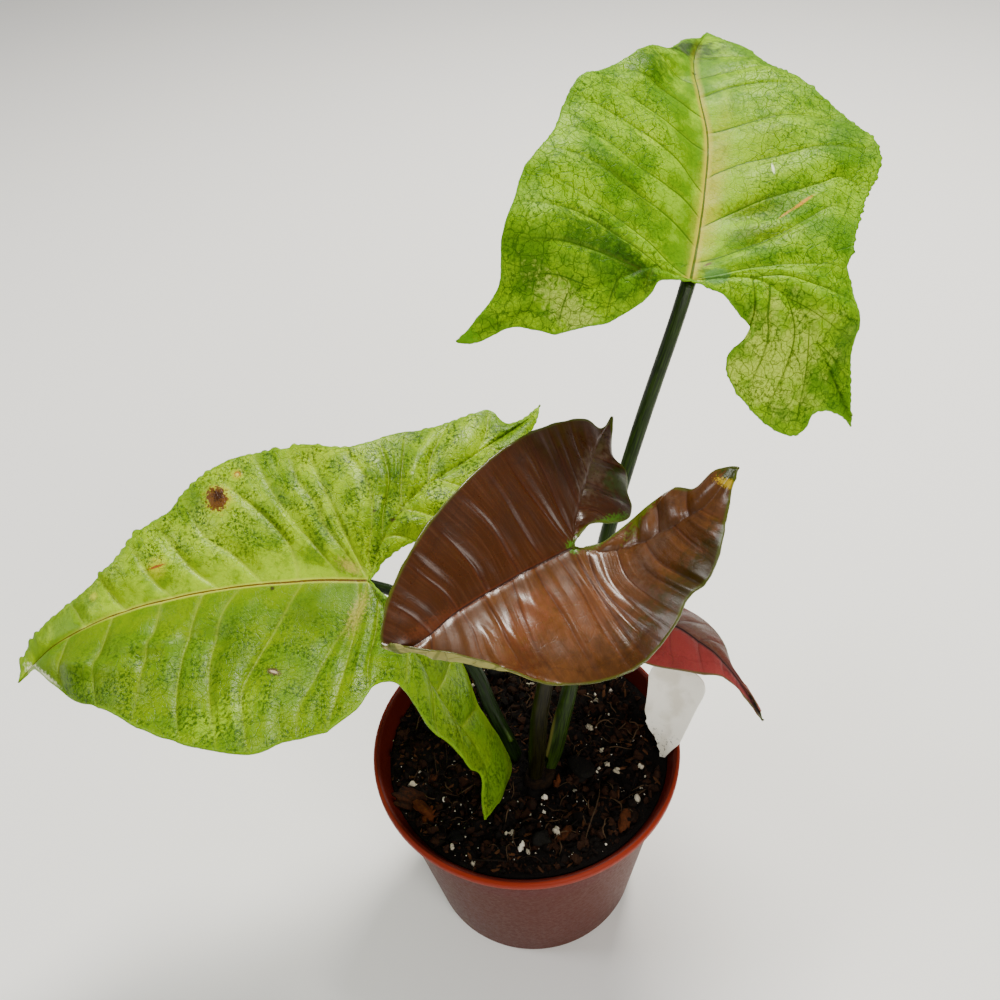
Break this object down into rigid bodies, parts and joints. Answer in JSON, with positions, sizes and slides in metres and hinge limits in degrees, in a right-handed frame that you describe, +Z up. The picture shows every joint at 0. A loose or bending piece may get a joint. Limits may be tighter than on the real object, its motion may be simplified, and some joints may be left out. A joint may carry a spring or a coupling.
{
  "type": "arrowhead plant",
  "caption": "Young arrowhead-leaved aroid house plant in a plain round plastic nursery pot, with potting soil, a rooted stem and a blank plant label.",
  "frame": {"origin": "centre of the pot's underside, on the surface it stands on", "axes": "+Z up the pot's axis, +Y away from the viewer of the front, +X to the viewer's right, where the tall leaf leans"},
  "size_m": [0.2782, 0.1995, 0.2668],
  "materials": {
    "pot_plastic": "thin terracotta-coloured plastic, satin, a little shinier on the lip",
    "potting_soil": "damp dark peat with perlite grains and bark chips",
    "stem_tissue": "rough brown stem",
    "label_plastic": "blank cream plastic",
    "green_leaf": "yellow-green living leaf with pale cream and peach along the midrib, satin",
    "speckled_leaf": "yellow-green leaf speckled dark green, purple-brown midrib, satin",
    "bronze_leaf": "glossy young leaf, dark bronze to pinkish brown with olive margins",
    "pink_leaf": "pink-red and beige-grey leaf, satin",
    "green_stalk": "olive green leaf stalk with a pale sheath edge",
    "dark_stalk": "dark brownish-green leaf stalk"
  },
  "bodies": {
    "root": {"pot": "pot_plastic", "soil": "potting_soil", "stem": "stem_tissue", "plant_label": "label_plastic", "blade_tall": "green_leaf", "blade_left": "speckled_leaf", "blade_bronze": "bronze_leaf", "blade_pink": "pink_leaf", "petiole_tall": "green_stalk", "petiole_left": "green_stalk", "petiole_bronze": "dark_stalk", "petiole_pink": "dark_stalk"}
  },
  "joints": []
}
